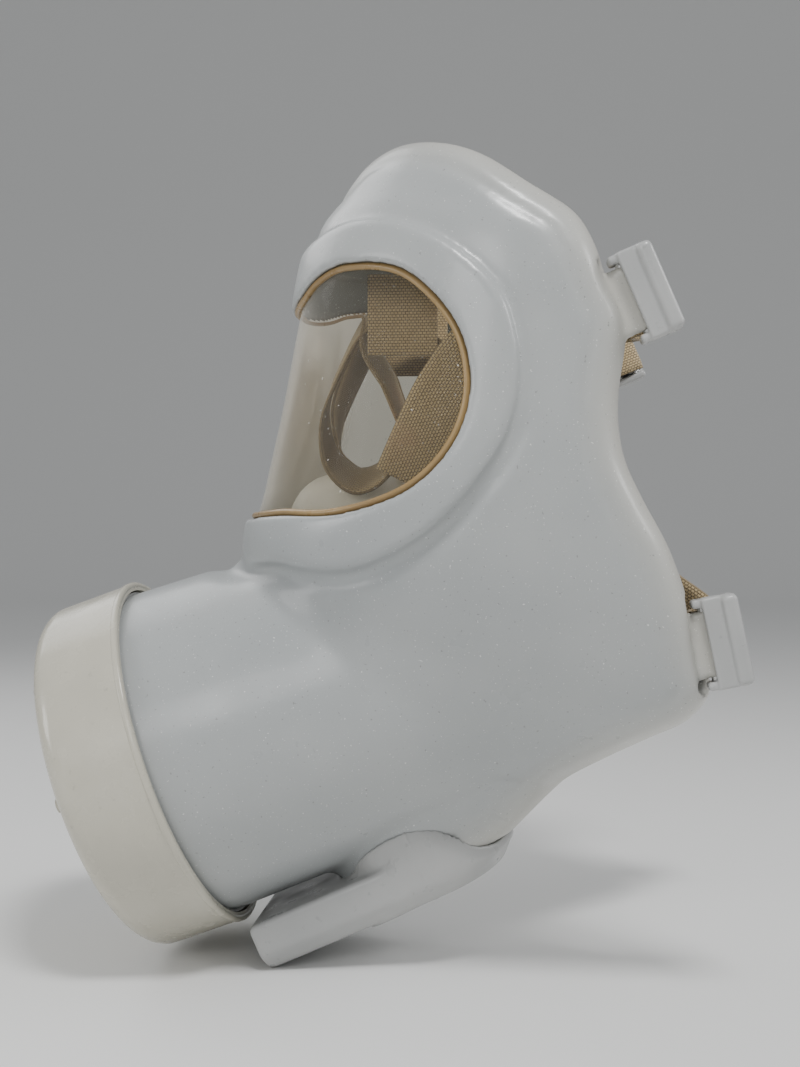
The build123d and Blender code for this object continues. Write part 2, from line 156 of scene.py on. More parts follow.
def outline_distance(points, y, z):
    """Signed distance in the side view to a closed outline, negative inside."""
    a, b = points, np.roll(points, -1, axis=0)
    best = np.full(y.shape, 1e9)
    inside = np.zeros(y.shape, bool)
    for (y0, z0), (y1, z1) in zip(a, b):
        dy, dz = y1 - y0, z1 - z0
        t = np.clip(((y - y0) * dy + (z - z0) * dz) / (dy * dy + dz * dz + 1e-9), 0, 1)
        best = np.minimum(best, (y - y0 - t * dy) ** 2 + (z - z0 - t * dz) ** 2)
        if abs(dz) > 1e-9:
            inside ^= ((z0 > z) != (z1 > z)) & (y < y0 + (z - z0) * dy / dz)
    return np.where(inside, -1, 1) * np.sqrt(best)


def sample(field, low, step, points):
    """Values of a field at points, read between its grid corners."""
    at = np.clip((points - np.array(low)) / step, 0, np.array(field.shape) - 1.001)
    cell = at.astype(int)
    part = at - cell
    total = np.zeros(len(points))
    for i, j, k in np.ndindex(2, 2, 2):
        weight = np.prod(np.where([i, j, k], part, 1 - part), axis=1)
        total += weight * field[cell[:, 0] + i, cell[:, 1] + j, cell[:, 2] + k]
    return total


def smin(a, b, k):
    """Union with a fillet of about k."""
    h = np.clip(0.5 + 0.5 * (b - a) / k, 0, 1)
    return b + (a - b) * h - k * h * (1 - h)


def smax(a, b, k):
    """Intersection with a rounded edge of about k."""
    return -smin(-a, -b, k)


def rounded_box(p, low, high, r):
    """Distance to a box with rounded edges; p is a list of three fields."""
    q = [np.abs(v - (l + h) / 2) - (h - l) / 2 + r for v, l, h in zip(p, low, high)]
    outside = np.sqrt(sum(np.maximum(v, 0) ** 2 for v in q))
    return outside + np.minimum(np.maximum(np.maximum(q[0], q[1]), q[2]), 0) - r


def even(field, step):
    """Scales an implicit field so that it measures distance near its surface."""
    g = np.gradient(field, step)
    return field / np.maximum(np.sqrt(g[0] ** 2 + g[1] ** 2 + g[2] ** 2), 1e-3)


def field_grid(low, high, step):
    """Three coordinate fields over a box, mm."""
    axes = [np.arange(l, h + step, step) for l, h in zip(low, high)]
    return np.meshgrid(*axes, indexing="ij")


def mesh_object(name, verts, faces, material):
    """A mesh object in metres, in the row frame."""
    mesh = bpy.data.meshes.new(name)
    mesh.from_pydata([tuple(v) for v in verts], [], [tuple(f) for f in faces])
    mesh.update()
    obj = bpy.data.objects.new(name, mesh)
    bpy.context.collection.objects.link(obj)
    mesh.materials.append(material)
    mesh.shade_smooth()
    return obj


def place(obj, body, slot, *nodes):
    """The piece rides on its body, and the CAD nodes it stands for are hidden."""
    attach(obj, body)
    if nodes:
        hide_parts(*nodes)
    return obj


def field_mesh(name, field, low, step, material, relax=2, to_world=None):
    """Skins the zero surface of a field with quads."""
    grid = openvdb.FloatGrid()
    grid.copyFromArray(np.ascontiguousarray(field, dtype=np.float32))
    points, quads = grid.convertToQuads(isovalue=0.0)
    points = points * step + np.array(low)
    points = (to_world(points) if to_world else points) * MM
    obj = mesh_object(name, points, quads.astype(int), material)
    bm = bmesh.new()
    bm.from_mesh(obj.data)
    for _ in range(relax):
        bmesh.ops.smooth_vert(
            bm, verts=bm.verts, factor=0.5, use_axis_x=True, use_axis_y=True, use_axis_z=True
        )
    bmesh.ops.recalc_face_normals(bm, faces=bm.faces)
    bm.to_mesh(obj.data)
    bm.free()
    obj.data.shade_smooth()
    return obj


def head_shape(y, z):
    """For points of the side view: how far back they lie, and the head's section at their height."""
    dy, dz = y - VISOR_AXIS[0], z - VISOR_AXIS[1]
    height = dy * sin(VISOR_TILT) + dz * cos(VISOR_TILT)
    back = dy * cos(VISOR_TILT) - dz * sin(VISOR_TILT)
    knots = smooth(HEAD, 8)
    a, b, s = (np.interp(height, knots[:, 0], knots[:, k]) for k in (1, 2, 3))
    return back, a, b, s


def head_field(x, y, z, step):
    """Distance to the head part's outside."""
    back, a, b, s = head_shape(y[0], z[0])
    q = np.minimum(back - s, 0) / b
    return even(np.sqrt((x / a) ** 2 + q**2 + 1e-6) - 1, step)


def drum_field(x, y, z):
    """Distance to the filter drum's outside, and the station along its axis."""
    dy, dz = y - DRUM_AT[1], z - DRUM_AT[2]
    station = dy * FORWARD[1] + dz * FORWARD[2]
    lift = dy * DRUM_UP[1] + dz * DRUM_UP[2]
    radius = DRUM_RADIUS + DRUM_TAPER * np.minimum(station, 0)
    return np.sqrt(x**2 + lift**2) - radius, station


def valve_coordinates(x, y, z):
    """How far points lie outward and forward of the exhalation valve."""
    return [
        sum((c - c0) * w for c, c0, w in zip((x, y, z), VALVE_AT, axis))
        for axis in (VALVE_OUT, VALVE_FRONT)
    ]


def rim_distance(y, z):
    """Distance behind the rim in the side view, negative on the mask's side."""
    curve = smooth(RIM, 8)
    closed = np.vstack([curve, [(-300, -300), (-300, 92)]])
    return outline_distance(closed, y, z)


def buckle_axes(name):
    """Pivot, outward, back and along directions of a buckle, mm."""
    joint = joint_of[f"buckle_swing_{name}"]
    along = np.array(joint["axis"], float)
    outward = np.array([1.0 if name.endswith("right") else -1.0, 0, 0])
    return np.array(joint["pos_m"], float) / MM, outward, np.cross(outward, along), along


# --- Materials ---------------------------------------------------------------------------------
class Shader:
    """A Principled material with short helpers for its nodes."""

    def __init__(self, name, color, rough, **sockets):
        self.mat = bpy.data.materials.new(name)
        self.mat.use_nodes = True
        self.nodes, self.links = self.mat.node_tree.nodes, self.mat.node_tree.links
        self.bsdf = self.nodes["Principled BSDF"]
        self.bsdf.inputs["Base Color"].default_value = (*color, 1)
        self.bsdf.inputs["Roughness"].default_value = rough
        for key, value in sockets.items():
            self.bsdf.inputs[key.replace("_", " ")].default_value = value

    def node(self, kind, **settings):
        """A new node; each setting is an input socket's value or a property of the node."""
        n = self.nodes.new(kind)
        for key, value in settings.items():
            if key in n.inputs:
                n.inputs[key].default_value = value
            else:
                setattr(n, key, value)
        return n

    def coords(self, output="Object"):
        """Texture coordinates of one kind."""
        return self.node("ShaderNodeTexCoord").outputs[output]

    def noise(self, scale, detail):
        """Noise over the object's own space; scale is in cycles per metre."""
        n = self.node("ShaderNodeTexNoise", Scale=scale, Detail=detail)
        self.links.new(self.coords(), n.inputs["Vector"])
        return n.outputs["Fac"]

    def ramp(self, fac, stops):
        """Colour by a value, between two stops of (position, colour)."""
        n = self.node("ShaderNodeValToRGB")
        for element, (position, color) in zip(n.color_ramp.elements, stops):
            element.position = position
            element.color = (*color, 1)
        self.links.new(fac, n.inputs["Fac"])
        return n.outputs["Color"]

    def mix(self, fac, a, b):
        """Colour a turning into colour b; each input is a value or an output socket."""
        n = self.node("ShaderNodeMix", data_type="RGBA")
        pins = [s for s in n.inputs if s.enabled]
        for socket, value in zip(pins, (fac, a, b)):
            if hasattr(value, "is_output"):
                self.links.new(value, socket)
            else:
                socket.default_value = value if isinstance(value, float) else (*value, 1)
        return [s for s in n.outputs if s.enabled][0]

    def map(self, value, a0, a1, b0, b1):
        """Rescales a value from the range a0 to a1 to the range b0 to b1."""
        n = self.node("ShaderNodeMapRange")
        for key, v in (("From Min", a0), ("From Max", a1), ("To Min", b0), ("To Max", b1)):
            n.inputs[key].default_value = v
        self.links.new(value, n.inputs["Value"])
        return n.outputs["Result"]

    def bump(self, height, distance, strength):
        """Adds relief over what relief there is already; distance is in metres."""
        n = self.node("ShaderNodeBump", Strength=strength, Distance=distance)
        self.links.new(height, n.inputs["Height"])
        if self.bsdf.inputs["Normal"].is_linked:
            self.links.new(self.bsdf.inputs["Normal"].links[0].from_socket, n.inputs["Normal"])
        self.links.new(n.outputs["Normal"], self.bsdf.inputs["Normal"])

    def set(self, socket, value):
        """Feeds an output into a socket of the shader."""
        self.links.new(value, self.bsdf.inputs[socket])


def rubber_material():
    """Pale grey moulded rubber: mottled, dusty, with fine specks, a painted highlight that makes it lighter and
    warmer towards the rim, and painted shade on the inside of the skin.
    """
    s = Shader("grey_rubber", (0.36, 0.385, 0.395), 0.34, Coat_Weight=0.2, Coat_Roughness=0.16)
    mottle = s.ramp(s.noise(14, 5), [(0.3, (0.335, 0.352, 0.355)), (0.7, (0.405, 0.418, 0.412))])
    # painted highlight: the rubber turns lighter and warmer towards the rim
    rim_highlight = s.node("ShaderNodeAttribute", attribute_name="rim").outputs["Fac"]
    base = s.mix(rim_highlight, mottle, (0.52, 0.50, 0.44))
    # painted shade: the inside of the skin is darkened almost to black
    inner = s.node("ShaderNodeAttribute", attribute_name="inner").outputs["Fac"]
    base = s.mix(inner, base, (0.105, 0.105, 0.088))
    specks = s.map(s.noise(900, 1), 0.73, 0.76, 0.0, 0.55)
    base = s.mix(specks, base, (0.17, 0.17, 0.16))
    dust = s.map(s.noise(1500, 1), 0.72, 0.76, 0.0, 0.6)
    s.set("Base Color", s.mix(dust, base, (0.85, 0.85, 0.82)))
    s.set("Roughness", s.map(s.noise(60, 4), 0.3, 0.7, 0.27, 0.44))
    s.bump(s.noise(420, 3), 0.00006, 0.6)
    s.bump(s.noise(38, 3), 0.0007, 0.3)
    return s.mat


def plastic_material(name, low, high, rough):
    """Moulded plastic with slow colour drift, scuffs and a faint skin."""
    s = Shader(name, low, rough, Coat_Weight=0.1, Coat_Roughness=0.15)
    drift = s.ramp(s.noise(22, 4), [(0.3, low), (0.7, high)])
    scuff = s.map(s.noise(330, 6), 0.66, 0.74, 0.0, 0.35)
    s.set("Base Color", s.mix(scuff, drift, tuple(0.6 * c for c in low)))
    s.set("Roughness", s.map(s.noise(120, 5), 0.3, 0.7, rough - 0.08, rough + 0.12))
    s.bump(s.noise(500, 3), 0.00005, 0.5)
    return s.mat


def lens_material():
    """Clear, slightly amber sheet that lets lamps through, with dust."""
    s = Shader("clear_lens", (0.95, 0.93, 0.86), 0.05, IOR=1.49)
    clear = s.node("ShaderNodeBsdfTransparent")
    clear.inputs["Color"].default_value = (0.93, 0.905, 0.83, 1)
    fresnel = s.node("ShaderNodeFresnel", IOR=1.42)
    dust = s.map(s.noise(700, 2), 0.7, 0.78, 0.0, 0.5)
    add = s.node("ShaderNodeMath", operation="MAXIMUM")
    s.links.new(fresnel.outputs["Fac"], add.inputs[0])
    s.links.new(dust, add.inputs[1])
    mix = s.node("ShaderNodeMixShader")
    s.links.new(add.outputs["Value"], mix.inputs["Fac"])
    s.links.new(clear.outputs["BSDF"], mix.inputs[1])
    s.links.new(s.bsdf.outputs["BSDF"], mix.inputs[2])
    s.links.new(mix.outputs["Shader"], s.nodes["Material Output"].inputs["Surface"])
    return s.mat


def webbing_material():
    """Coarse tan webbing: offset rows of dark gaps, fuzz and faint stains."""
    s = Shader("webbing", (0.62, 0.5, 0.3), 0.85, Sheen_Weight=0.35, Sheen_Roughness=0.5)
    brick = s.node("ShaderNodeTexBrick", Scale=1.0)
    for key, v in (
        ("Mortar Size", 0.00021), ("Mortar Smooth", 0.6), ("Brick Width", 0.00125), ("Row Height", 0.00095),
    ):
        brick.inputs[key].default_value = v
    s.links.new(s.coords("UV"), brick.inputs["Vector"])
    brick.inputs["Color1"].default_value = (0.56, 0.42, 0.22, 1)
    brick.inputs["Color2"].default_value = (0.46, 0.34, 0.17, 1)
    brick.inputs["Mortar"].default_value = (0.12, 0.078, 0.03, 1)
    stain = s.map(s.noise(38, 4), 0.6, 0.75, 0.0, 0.35)
    fuzz = s.map(s.noise(2600, 3), 0.3, 0.7, 0.0, 0.35)
    base = s.mix(stain, brick.outputs["Color"], (0.42, 0.2, 0.13))
    s.set("Base Color", s.mix(fuzz, base, (0.66, 0.54, 0.34)))
    s.bump(s.map(brick.outputs["Fac"], 0, 1, 1, 0), 0.0003, 0.9)
    s.bump(s.noise(2400, 3), 0.00008, 0.7)
    return s.mat


def silicone_material():
    """Milky inner-mask silicone."""
    s = Shader("milky_silicone", (0.72, 0.71, 0.66), 0.45, Subsurface_Weight=0.25)
    s.bsdf.inputs["Subsurface Radius"].default_value = (0.004, 0.004, 0.003)
    s.set("Base Color", s.ramp(s.noise(40, 4), [(0.3, (0.62, 0.61, 0.56)), (0.7, (0.76, 0.75, 0.7))]))
    s.bump(s.noise(300, 3), 0.00008, 0.5)
    return s.mat


def speckled(name, dark, light, scale, rough, metal=0.0, depth=0.0002):
    """Grainy material for steel, felt, charcoal and black seals."""
    s = Shader(name, light, rough, Metallic=metal)
    s.set("Base Color", s.ramp(s.noise(scale, 5), [(0.35, dark), (0.65, light)]))
    s.bump(s.noise(scale * 1.5, 4), depth, 0.6)
    return s.mat


MATERIALS = {
    "grey_rubber": rubber_material(),
    "clear_lens": lens_material(),
    "tan_gasket": plastic_material("tan_gasket", (0.23, 0.14, 0.05), (0.36, 0.24, 0.1), 0.3),
    "cream_plastic": plastic_material("cream_plastic", (0.46, 0.44, 0.365), (0.54, 0.515, 0.43), 0.22),
    "grey_plastic": plastic_material("grey_plastic", (0.36, 0.365, 0.36), (0.44, 0.44, 0.43), 0.32),
    "webbing": webbing_material(),
    "milky_silicone": silicone_material(),
    "black_rubber": speckled("black_rubber", (0.02, 0.02, 0.02), (0.045, 0.045, 0.045), 300, 0.6),
    "filter_felt": speckled("filter_felt", (0.66, 0.65, 0.6), (0.85, 0.84, 0.8), 900, 0.95),
    "charcoal": speckled("charcoal", (0.01, 0.01, 0.01), (0.06, 0.06, 0.06), 700, 0.8, depth=0.0008),
    "steel": speckled("steel", (0.42, 0.42, 0.41), (0.6, 0.6, 0.59), 240, 0.32, metal=1.0, depth=0.00003),
}


def dress_cad():
    """Gives every CAD node the finish of its slot."""
    for part in frame["record"]["subparts"]:
        obj = frame["nodes"][part["node"]]
        for slot in obj.material_slots:
            slot.material = MATERIALS[part["material_slot"]]


# --- Facepiece ---------------------------------------------------------------------------------
def buckle_tabs(x, y, z, field):
    """Adds the tabs that carry the hinge pins."""
    for level in ("upper", "lower"):
        pivot, outward, back, along = buckle_axes(f"{level}_right")
        d = (x - pivot[0], y - pivot[1], z - pivot[2])
        o, b, a = (sum(v * w for v, w in zip(d, axis)) for axis in (outward, back, along))
        swing = np.maximum(np.sqrt(b**2 + o**2) - 6.3, np.abs(a) - 14.8)
        field = smax(field, -swing, 0.8)
        tab = rounded_box((b, o, a), (-TAB_LENGTH, -1.6, -TAB_HALF), (0, 1.6, TAB_HALF), 1.0)
        knuckle = np.maximum(np.sqrt(b**2 + o**2) - 2.5, np.abs(a) - TAB_HALF)
        field = smin(field, np.minimum(tab, knuckle), 1.2)
    return field


def facepiece():
    """One rubber skin: head, drum, raised visor band, rolled rim and in-turned lip."""
    step = FACE_STEP
    low, high = (0.0, -178.0, -168.0), (82.0, 38.0, 112.0)
    x, y, z = field_grid(low, high, step)
    side_y, side_z = y[0], z[0]
    lens = outline_distance(smooth(LENS, 8, closed=True), side_y, side_z)[None]
    band = outline_distance(smooth(BAND, 8, closed=True), side_y, side_z)[None]
    rim = rim_distance(side_y, side_z)[None]
    head = head_field(x, y, z, step)
    drum, station = drum_field(x, y, z)
    body = smin(head, np.maximum(drum, DRUM_BACK - station), DRUM_FILLET)
    # a trough outside the band, deepest below it, and the band with its soft front edge
    below = np.clip((18 - side_z) / 40, 0.15, 1)[None]
    body = body + 1.6 * below * np.exp(-((band - 3.0) / 2.6) ** 2)
    raised = smax(head - BAND_RISE + BAND_FALL * np.maximum(-band, 0) ** 2, band, 3.2)
    body = smin(body, raised, 1.2)
    # a faint ridge where the cheek meets the drum, and the groove that sets off the rolled rim
    near = np.exp(-(np.maximum(np.abs(head), np.abs(drum)) / 9.0) ** 2)
    body = body - 0.55 * np.exp(-((head - drum) / 5.0) ** 2) * near
    body = body + 0.75 * np.exp(-((rim + 10.5) / 1.5) ** 2) - 0.7 * np.exp(-((rim + 5.0) / 4.0) ** 2)
    closed = smax(body, rim, RIM_ROUND)
    # hollow it out, but for the lip that turns in from the rim; then open the lens and the drum
    shell = np.maximum(closed, -(closed + RUBBER))
    shell = smax(shell, -(smin(head, drum, DRUM_FILLET) + RIM_LIP), 2.0)
    shell = smax(shell, LENS_SEAT - lens, 1.2)
    shell = np.maximum(shell, station - DRUM_LIP)
    shell = buckle_tabs(x, y, z, shell)
    v = valve_coordinates(x, y, z)
    bore = np.maximum(np.sqrt(x**2 + v[1] ** 2) - VALVE_BORE, np.abs(v[0] + 5) - 14)
    shell = np.maximum(shell, -bore)
    whole = np.concatenate([shell[:0:-1], shell], axis=0)
    start = (-(shell.shape[0] - 1) * step, low[1], low[2])
    whole = np.clip(whole, -4 * step, 4 * step)
    obj = field_mesh("facepiece_rubber", whole, start, step, MATERIALS["grey_rubber"])
    co = np.empty(len(obj.data.vertices) * 3)
    obj.data.vertices.foreach_get("co", co)
    co = co.reshape(-1, 3) / MM
    # painted highlight towards the rim, handed to the shader in the rim attribute
    rim_highlight = np.clip(1 + rim_distance(co[:, 1], co[:, 2]) / 16, 0, 1) ** 1.5 * 0.75
    obj.data.attributes.new("rim", "FLOAT", "POINT").data.foreach_set("value", rim_highlight)
    # painted shade for the inside of the skin, handed to the shader in the inner attribute
    depth = -sample(closed, low, step, np.abs(co) * [1, 0, 0] + co * [0, 1, 1])
    inner = np.clip((depth - 1.0) / 1.2, 0, 1)
    obj.data.attributes.new("inner", "FLOAT", "POINT").data.foreach_set("value", inner)
    return place(obj, "facepiece", "grey_rubber", "facepiece")


# --- Visor -------------------------------------------------------------------------------------
def head_point(angle, height, inset):
    """Point on the rounded front of the head; angle 0 is straight ahead."""
    knots = smooth(HEAD, 8)
    a, b, s = (np.interp(height, knots[:, 0], knots[:, k]) for k in (1, 2, 3))
    x = (a - inset) * np.sin(angle)
    back = s - (b - inset) * np.cos(angle)
    y = VISOR_AXIS[0] + back * cos(VISOR_TILT) + height * sin(VISOR_TILT)
    z = VISOR_AXIS[1] - back * sin(VISOR_TILT) + height * cos(VISOR_TILT)
    return np.stack([x, y, z], axis=-1)


def visor():
    """The lens as one even sheet, trimmed under the gasket."""
    angles = np.linspace(-radians(100), radians(100), 260)
    heights = np.linspace(-62, 48, 150)
    ang, hei = np.meshgrid(angles, heights, indexing="ij")
    p = head_point(ang, hei, LENS_SEAT)
    inside = outline_distance(smooth(LENS, 8, closed=True), p[..., 1], p[..., 2]) < LENS_SEAT
    index = np.arange(inside.size).reshape(inside.shape)
    keep = inside[:-1, :-1] & inside[1:, :-1] & inside[:-1, 1:] & inside[1:, 1:]
    quads = np.stack([index[:-1, :-1], index[1:, :-1], index[1:, 1:], index[:-1, 1:]], -1)[keep]
    used, renumbered = np.unique(quads, return_inverse=True)
    sheet_points = p.reshape(-1, 3)[used] * MM
    lens = mesh_object(
        "visor_lens_sheet", sheet_points, renumbered.reshape(-1, 4), MATERIALS["clear_lens"]
    )
    place(lens, "facepiece", "clear_lens", "visor_lens")

    outline = smooth(LENS, 40, closed=True)
    back, a, b, s = head_shape(outline[:, 0], outline[:, 1])
    reach = np.clip((back - s) / b, -1.05, 0)
    on = reach > -1
    start = np.argmax(~on)
    order = (np.arange(len(outline)) + start) % len(outline)
    order = order[on[order]]
    x = a[order] * np.sqrt(1 - reach[order] ** 2)
    half = np.column_stack([x, outline[order]])
    loop = np.vstack([half, (half * [-1, 1, 1])[::-1]])
    loop = even_spacing(loop, 420)
    tube(loop, GASKET_RADIUS, "visor_gasket_edge", "tan_gasket", "visor_gasket")
    return lens


def even_spacing(loop, count):
    """Closed loop resampled at equal steps."""
    ring = np.vstack([loop, loop[:1]])
    run = np.concatenate([[0], np.cumsum(np.linalg.norm(np.diff(ring, axis=0), axis=1))])
    at = np.linspace(0, run[-1], count, endpoint=False)
    return np.stack([np.interp(at, run, ring[:, k]) for k in range(3)], -1)


def tube(loop, radius, name, slot, node):
    """A round bead along a closed loop, with a fine groove on its crown."""
    n, sides = len(loop), 14
    tangent = np.roll(loop, -1, 0) - np.roll(loop, 1, 0)
    tangent /= np.linalg.norm(tangent, axis=1)[:, None]
    out = loop - loop.mean(axis=0)
    out -= (out * tangent).sum(1)[:, None] * tangent
    out /= np.linalg.norm(out, axis=1)[:, None]
    side = np.cross(tangent, out)
    verts, faces = [], []
    for k in range(sides):
        t = 2 * pi * k / sides
        r = radius * (0.82 if k == 0 else 1.0)
        verts.append(loop + r * (cos(t) * out + sin(t) * side))
    verts = np.array(verts).transpose(1, 0, 2).reshape(-1, 3)
    for i in range(n):
        for k in range(sides):
            j, m = (i + 1) % n, (k + 1) % sides
            faces.append((i * sides + k, j * sides + k, j * sides + m, i * sides + m))
    obj = mesh_object(name, verts * MM, faces, MATERIALS[slot])
    return place(obj, "facepiece", slot, *([node] if node else []))


# --- Cap trim ----------------------------------------------------------------------------------
def cap_bead():
    """The raised bead round the cap's rear rim."""
    turn = np.linspace(0, 2 * pi, 200, endpoint=False)
    across = np.array([1.0, 0, 0])
    middle = DRUM_AT + FORWARD * CAP_BEAD_STATION
    loop = middle + CAP_BEAD_RADIUS * (np.cos(turn)[:, None] * across + np.sin(turn)[:, None] * DRUM_UP)
    bead = tube(loop, CAP_BEAD_WIDTH / 2, "filter_cap_bead", "cream_plastic", None)
    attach(bead, "filter_cap")


# --- Exhalation valve cover --------------------------------------------------------------------
def valve_cover():
    """Saddle flange on the drum, then a round body that runs on as an open duct."""
    step = 0.6
    low, high = (-32.0, -32.0, -14.0), (32.0, 66.0, 20.0)
    u, v, w = field_grid(low, high, step)
    p = [VALVE_AT[k] + v * VALVE_FRONT[k] + w * VALVE_OUT[k] for k in (1, 2)]
    drum, _ = drum_field(u, *p)
    rim = rim_distance(p[0][0], p[1][0])[None]
    rubber = smax(smin(head_field(u, *p, step), drum, DRUM_FILLET), rim, RIM_ROUND)
    reach = np.maximum(v, 0)
    round_end = np.sqrt(u**2 + np.minimum(v, 0) ** 2) - COVER_RADIUS
    duct = smax(round_end, reach - COVER_REACH, 1.5)
    block = smax(smax(duct, np.abs(w - 9.0) - 8.4, 2.5), (round_end + w - 12.0) * 0.75, 2.0)
    collar = smax(np.sqrt(u**2 + v**2) - 29.6, np.abs(rubber - 1.6) - 1.4, 1.0)
    neck = smax(np.sqrt(u**2 + v**2) - 26.6, np.maximum(-drum + 0.3, w - 8), 1.0)
    field = smin(smin(block, neck, 3.0), collar, 2.4)
    hollow = smax(round_end + 2.2, np.abs(w - 9.0) - 6.2, 2.0)
    hollow = smax(hollow, (round_end + w - 8.4) * 0.75, 2.0)
    throat = np.maximum(np.sqrt(u**2 + v**2) - 24.4, w - 8)
    field = smax(field, -np.minimum(hollow, throat), 0.6)
    field = np.maximum(field, 0.2 - rubber)
    seam = (np.abs(v - 1.0) < 0.5) * (np.abs(u) > 20) * 0.25
    field = field - seam

    def to_world(q):
        base = np.array([0.0, VALVE_AT[1], VALVE_AT[2]])
        return base + q[:, :1] * np.array([1.0, 0, 0]) + q[:, 1:2] * VALVE_FRONT + q[:, 2:3] * VALVE_OUT

    obj = field_mesh("valve_cover_shell", field, low, step, MATERIALS["grey_plastic"], 2, to_world)
    return place(obj, "facepiece", "grey_plastic", "exhalation_valve_cover")


# --- Nose cup ----------------------------------------------------------------------------------
def nose_cup():
    """Milky inner cup with a rolled edge and its neck on the exhalation valve."""
    step = 1.2
    low, high = (0.0, -132.0, -134.0), (48.0, -34.0, 2.0)
    x, y, z = field_grid(low, high, step)
    knots = smooth([
        (-118, -66, 8, 8), (-103, -66, 24, 23), (-84, -66, 38, 34), (-62, -66, 41.5, 41.5),
        (-38, -70, 33, 44), (-18, -78, 23, 34), (-4, -84, 12, 20), (8, -88, 5, 8),
    ], 6)
    c, a, b = (np.interp(z[0], knots[:, 0], knots[:, k]) for k in (1, 2, 3))
    cup = even(np.sqrt((x / a) ** 2 + ((y[0] - c) / b) ** 2 + 1e-6) - 1, step)
    cup = smax(smax(cup, z + 4, 8), -z - 102, 8)
    edge = smooth([(-76, 14), (-63, -18), (-55, -50), (-51, -75), (-47, -100), (-45, -125)], 8)
    behind = outline_distance(np.vstack([edge, [(40, -125), (40, 14)]]), y[0], z[0])[None]
    v = valve_coordinates(x, y, z)
    neck = np.maximum(np.sqrt(x**2 + v[1] ** 2) - 22.4, np.maximum(v[0] + 10, -36 - v[0]))
    bore = np.maximum(np.sqrt(x**2 + v[1] ** 2) - VALVE_BORE, np.abs(v[0] + 20) - 24)
    shell = np.maximum(smin(cup, neck, 4), -np.minimum(cup + 2.3, bore))
    shell = smax(shell, -behind, 2.0)
    bead = np.sqrt((cup + 1.1) ** 2 + (behind - 2.0) ** 2) - 2.4
    shell = smin(shell, bead, 1.5)
    drum, _ = drum_field(x, y, z)
    inside = smin(head_field(x, y, z, step), drum, 6) + RUBBER + 0.8
    shell = np.maximum(shell, inside)
    at = centre("nose_valve_seat_right")
    port = np.maximum(np.sqrt((y - at[1]) ** 2 + (z - at[2]) ** 2) - 8.7, 30 - x)
    shell = np.maximum(shell, -port)
    whole = np.clip(np.concatenate([shell[:0:-1], shell], axis=0), -4 * step, 4 * step)
    start = (-(shell.shape[0] - 1) * step, low[1], low[2])
    obj = field_mesh("nose_cup_skin", whole, start, step, MATERIALS["milky_silicone"])
    return place(obj, "facepiece", "milky_silicone", "nose_cup")


# --- Buckles -----------------------------------------------------------------------------------
def buckle(name):
    """Moulded buckle: two cheeks, a stepped plate and a fat rounded outer bar."""
    pivot, outward, back, along = buckle_axes(name)
    step = 0.4
    low, high = (-5.0, -5.0, -16.0), (13.0, 9.0, 16.0)
    b, o, a = field_grid(low, high, step)
    cheeks = rounded_box((b, o, np.abs(a)), (-3.2, -3.3, 11.3), (10.0, 4.2, 14.0), 1.0)
    plate = rounded_box((b, o, a), (-0.3, 2.8, -14.0), (7.5, 5.2, 14.0), 0.7)
    bar = rounded_box((b, o, a), (5.4, 2.8, -14.0), (10.5, 7.0, 14.0), 1.9)
    field = smin(smin(plate, bar, 0.7), cheeks, 1.0)
    roller = centre(f"buckle_roller_{name}") - pivot
    rb, ro = roller @ back, roller @ outward
    holes = np.minimum(np.sqrt(b**2 + o**2) - 1.5, np.sqrt((b - rb) ** 2 + (o - ro) ** 2) - 1.35)
    field = np.maximum(field, -holes)

    def to_world(q):
        return pivot + q[:, :1] * back + q[:, 1:2] * outward + q[:, 2:3] * along

    obj = field_mesh(f"buckle_{name}_shell", field, low, step, MATERIALS["grey_plastic"], 1, to_world)
    return place(obj, f"buckle_{name}", "grey_plastic", f"buckle_{name}")


# --- Webbing -----------------------------------------------------------------------------------
def ribbon(name, knots, width=STRAP_WIDTH):
    """A flat woven strap through knots of (point, direction of its width)."""
    path = smooth([k[0] for k in knots], 14)
    lean = smooth([k[1] for k in knots], 14)
    tangent = np.gradient(path, axis=0)
    tangent /= np.linalg.norm(tangent, axis=1)[:, None]
    lean -= (lean * tangent).sum(1)[:, None] * tangent
    lean /= np.linalg.norm(lean, axis=1)[:, None]
    normal = np.cross(tangent, lean)
    run = np.concatenate([[0], np.cumsum(np.linalg.norm(np.diff(path, axis=0), axis=1))])
    across = np.linspace(-0.5, 0.5, 9)
    ring = [(c, 0.5) for c in across] + [(c, -0.5) for c in across[::-1]]
    verts = []
    for c, t in ring:
        thin = 0.72 if abs(c) == 0.5 else 1.0
        verts.append(path + lean * width * c + normal * STRAP_THICKNESS * t * thin)
    n, m = len(path), len(ring)
    verts = np.array(verts).transpose(1, 0, 2).reshape(-1, 3)
    faces = [(i * m + k, i * m + (k + 1) % m, (i + 1) * m + (k + 1) % m, (i + 1) * m + k)
             for i in range(n - 1) for k in range(m)]
    faces += [tuple(range(m))[::-1], tuple((n - 1) * m + k for k in range(m))]
    obj = mesh_object(name, verts * MM, faces, MATERIALS["webbing"])
    uv = obj.data.uv_layers.new(name="weave").data
    for loop in obj.data.loops:
        i, k = divmod(loop.vertex_index, m)
        uv[loop.index].uv = (run[i] * MM, ring[k][0] * width * MM)
    return obj


def harness_strap(name, knots, level, side):
    """A harness strap whose outer end turns round its buckle's roller."""
    station = f"{level}_{side}"
    _, outward, back, along = buckle_axes(station)
    roller = centre(f"buckle_roller_{station}")
    wrap = [
        (roller - 5.5 * outward - 9.5 * back, along), (roller - 3.3 * outward - 1.0 * back, along),
        (roller - 1.2 * outward + 3.2 * back, along), (roller + 2.9 * outward + 1.2 * back, along),
    ]
    inner = [(np.array(p, float), np.array(d, float)) for p, d in knots]
    route = wrap[::-1] + inner
    obj = ribbon(name, route)
    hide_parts(f"strap_{level}_{side}")
    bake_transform(obj)
    return obj


